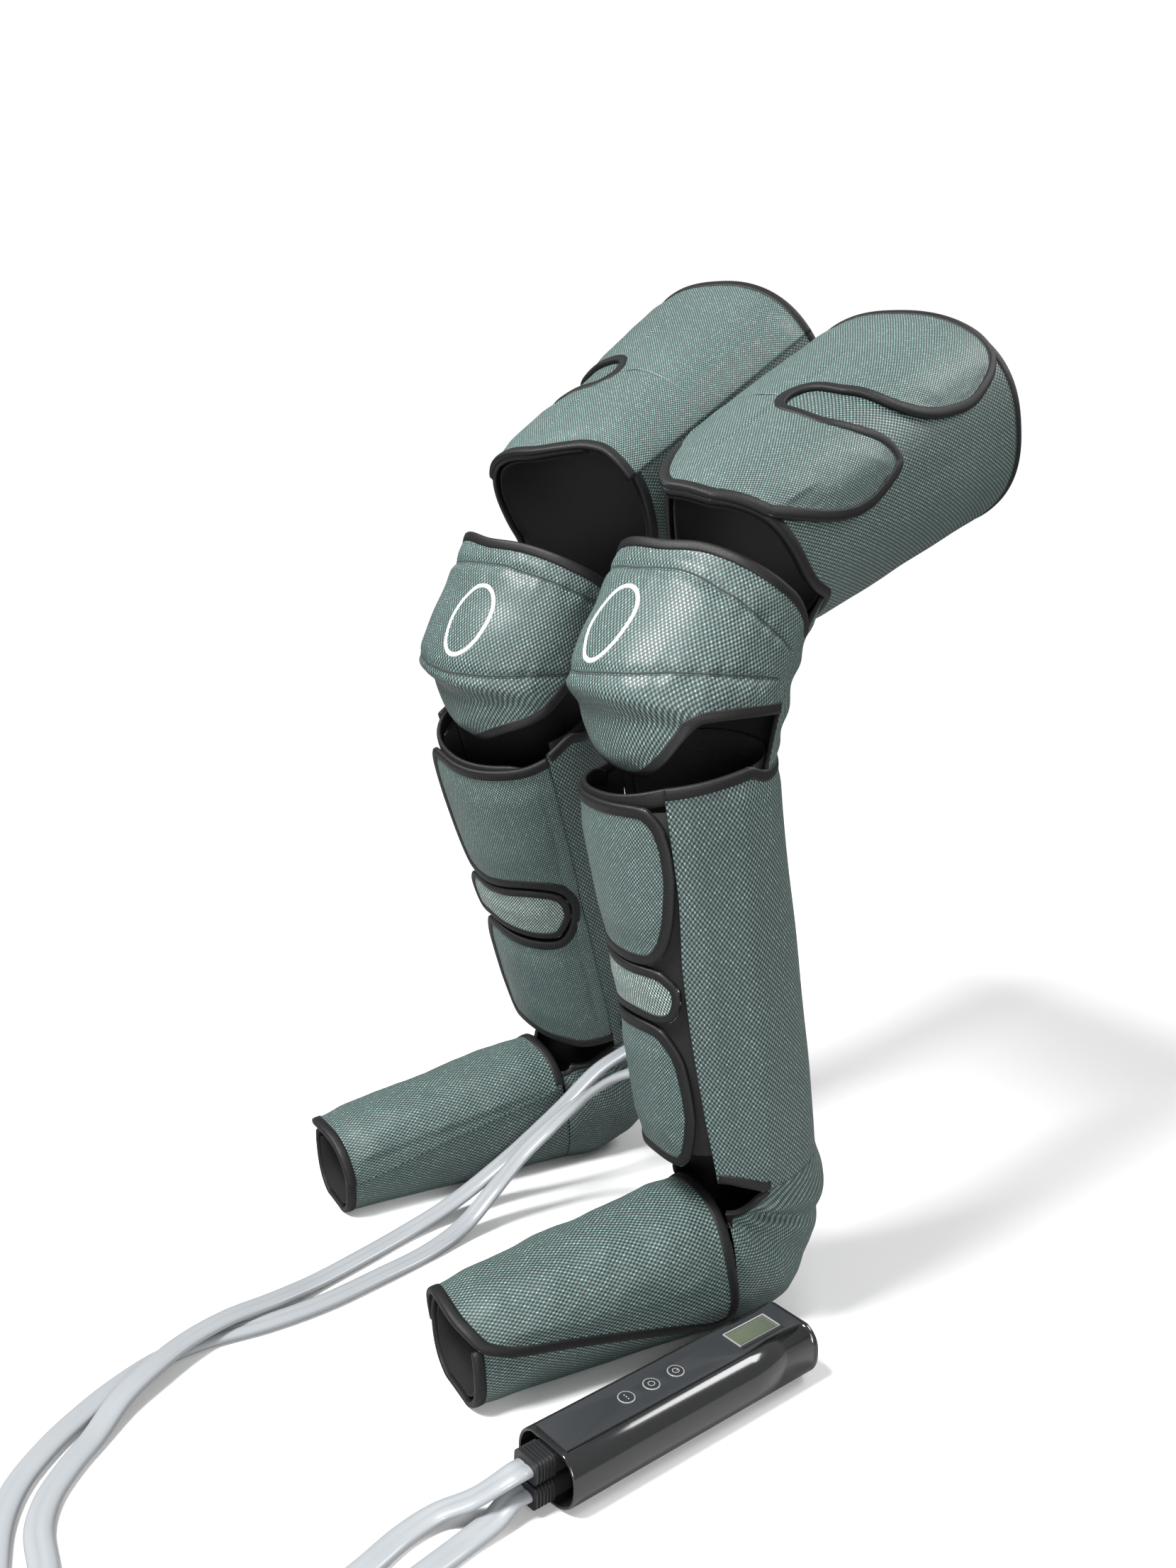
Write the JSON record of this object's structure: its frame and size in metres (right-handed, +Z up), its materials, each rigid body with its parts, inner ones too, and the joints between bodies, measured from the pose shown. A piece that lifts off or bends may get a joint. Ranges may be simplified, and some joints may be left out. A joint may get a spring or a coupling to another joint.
{
  "type": "compression therapy pump",
  "caption": "Full-leg air compression wraps, posed as worn on bent legs, with a handheld pump that inflates them through flat hoses.",
  "frame": {"origin": "middle of the footprint of the wraps and the handset, on the floor", "axes": "+Z up, and the wearer faces about -Y"},
  "size_m": [0.5373, 0.9308, 0.8642],
  "materials": {
    "black_plastic": "black moulded plastic",
    "bladder": "airtight coated fabric",
    "board": "green solder mask",
    "display": "grey-green display glass",
    "gloss_shell": "dark metallic gloss",
    "heating_pad": "flexible heating cloth",
    "hose": "smooth grey flexible hose",
    "lining": "smooth black lining",
    "loop_strip": "black loop pile",
    "matte_panel": "fine satin grain",
    "mesh_fabric": "grey-green padded mesh",
    "motor": "drawn steel can",
    "pale_mesh": "paler padded mesh",
    "window": "clear display window"
  },
  "bodies": {
    "leg_wraps": {"left_foot_wrap": "mesh_fabric", "left_foot_bladder": "bladder", "left_foot_lining": "lining", "left_heel_panel": "mesh_fabric", "left_calf_wrap": "mesh_fabric", "left_calf_bladder": "bladder", "left_calf_lining": "lining", "left_calf_loop_strip": "loop_strip", "left_knee_cup": "mesh_fabric", "left_knee_heating_pad": "heating_pad", "left_knee_back_panel": "mesh_fabric", "left_hose_port": "black_plastic", "right_foot_wrap": "mesh_fabric", "right_foot_bladder": "bladder", "right_foot_lining": "lining", "right_heel_panel": "mesh_fabric", "right_calf_wrap": "mesh_fabric", "right_calf_bladder": "bladder", "right_calf_lining": "lining", "right_calf_loop_strip": "loop_strip", "right_knee_cup": "mesh_fabric", "right_knee_heating_pad": "heating_pad", "right_knee_back_panel": "mesh_fabric", "right_hose_port": "black_plastic", "upper_plug": "black_plastic", "lower_plug": "black_plastic", "left_hose": "hose", "right_hose": "hose"},
    "left_thigh": {"left_thigh_wrap": "mesh_fabric", "left_thigh_bladder": "bladder", "left_thigh_lining": "lining"},
    "left_thigh_flap": {"left_thigh_flap": "mesh_fabric"},
    "left_calf_flap": {"left_calf_flap": "mesh_fabric"},
    "left_calf_strap": {"left_calf_strap": "pale_mesh"},
    "left_foot_flap": {"left_foot_flap": "mesh_fabric"},
    "right_thigh": {"right_thigh_wrap": "mesh_fabric", "right_thigh_bladder": "bladder", "right_thigh_lining": "lining"},
    "right_thigh_flap": {"right_thigh_flap": "mesh_fabric"},
    "right_calf_flap": {"right_calf_flap": "mesh_fabric"},
    "right_calf_strap": {"right_calf_strap": "pale_mesh"},
    "right_foot_flap": {"right_foot_flap": "mesh_fabric"},
    "handset": {"handset_shell": "gloss_shell", "handset_end_cap": "gloss_shell", "handset_top_panel": "matte_panel", "display_window": "window", "display_module": "display", "circuit_board": "board", "socket_block": "black_plastic", "power_inlet": "black_plastic", "pump_motor": "motor", "pump_head": "black_plastic", "air_valves": "black_plastic"},
    "heat_button": {"heat_button": "matte_panel"},
    "mode_button": {"mode_button": "matte_panel"},
    "power_button": {"power_button": "matte_panel"}
  },
  "joints": [
    {"name": "left_knee_bend", "type": "hinge", "parent": "leg_wraps", "child": "left_thigh", "pos_m": [0.12359, -0.12491, 0.60484], "axis": [0.9748, 0.2233, 0], "range_deg": [0, 60]},
    {"name": "left_thigh_flap_open", "type": "hinge", "parent": "left_thigh", "child": "left_thigh_flap", "pos_m": [0.02208, -0.03239, 0.68675], "axis": [0.2617, -0.895, -0.3611], "range_deg": [0, 60]},
    {"name": "left_calf_flap_open", "type": "hinge", "parent": "leg_wraps", "child": "left_calf_flap", "pos_m": [0.08167, -0.02631, 0.14604], "axis": [0.081, 0.1987, -0.9767], "range_deg": [0, 40]},
    {"name": "left_calf_strap_open", "type": "hinge", "parent": "left_calf_flap", "child": "left_calf_strap", "pos_m": [0.068, -0.07271, 0.30568], "axis": [0.0804, 0.2008, -0.9763], "range_deg": [0, 35]},
    {"name": "left_foot_flap_open", "type": "hinge", "parent": "leg_wraps", "child": "left_foot_flap", "pos_m": [0.09603, -0.0485, 0.09638], "axis": [-0.162, -0.9528, -0.2568], "range_deg": [0, 30]},
    {"name": "right_knee_bend", "type": "hinge", "parent": "leg_wraps", "child": "right_thigh", "pos_m": [-0.11429, -0.10848, 0.58277], "axis": [0.9919, 0.1271, 0], "range_deg": [0, 60]},
    {"name": "right_thigh_flap_open", "type": "hinge", "parent": "right_thigh", "child": "right_thigh_flap", "pos_m": [-0.04901, -0.00189, 0.68253], "axis": [-0.054, 0.8568, 0.5128], "range_deg": [0, 60]},
    {"name": "right_calf_flap_open", "type": "hinge", "parent": "leg_wraps", "child": "right_calf_flap", "pos_m": [-0.09089, 0.04103, 0.13659], "axis": [0.1132, -0.3624, 0.9251], "range_deg": [0, 40]},
    {"name": "right_calf_strap_open", "type": "hinge", "parent": "right_calf_flap", "child": "right_calf_strap", "pos_m": [-0.0767, -0.03136, 0.28621], "axis": [0.1117, -0.3641, 0.9246], "range_deg": [0, 35]},
    {"name": "right_foot_flap_open", "type": "hinge", "parent": "leg_wraps", "child": "right_foot_flap", "pos_m": [-0.11513, -0.00054, 0.09638], "axis": [0.1537, 0.9542, 0.2569], "range_deg": [0, 30]},
    {"name": "handset_unplug", "type": "slide", "parent": "leg_wraps", "child": "handset", "axis": [-0.0209, 0.9998, 0], "range_m": [0, 0.025]},
    {"name": "heat_press", "type": "slide", "parent": "handset", "child": "heat_button", "axis": [0, 0, -1], "range_m": [0, 0.0008], "stiffness_N_per_m": 1500, "springref_m": -0.0003},
    {"name": "mode_press", "type": "slide", "parent": "handset", "child": "mode_button", "axis": [0, 0, -1], "range_m": [0, 0.0008], "stiffness_N_per_m": 1500, "springref_m": -0.0003},
    {"name": "power_press", "type": "slide", "parent": "handset", "child": "power_button", "axis": [0, 0, -1], "range_m": [0, 0.0008], "stiffness_N_per_m": 1500, "springref_m": -0.0003}
  ]
}
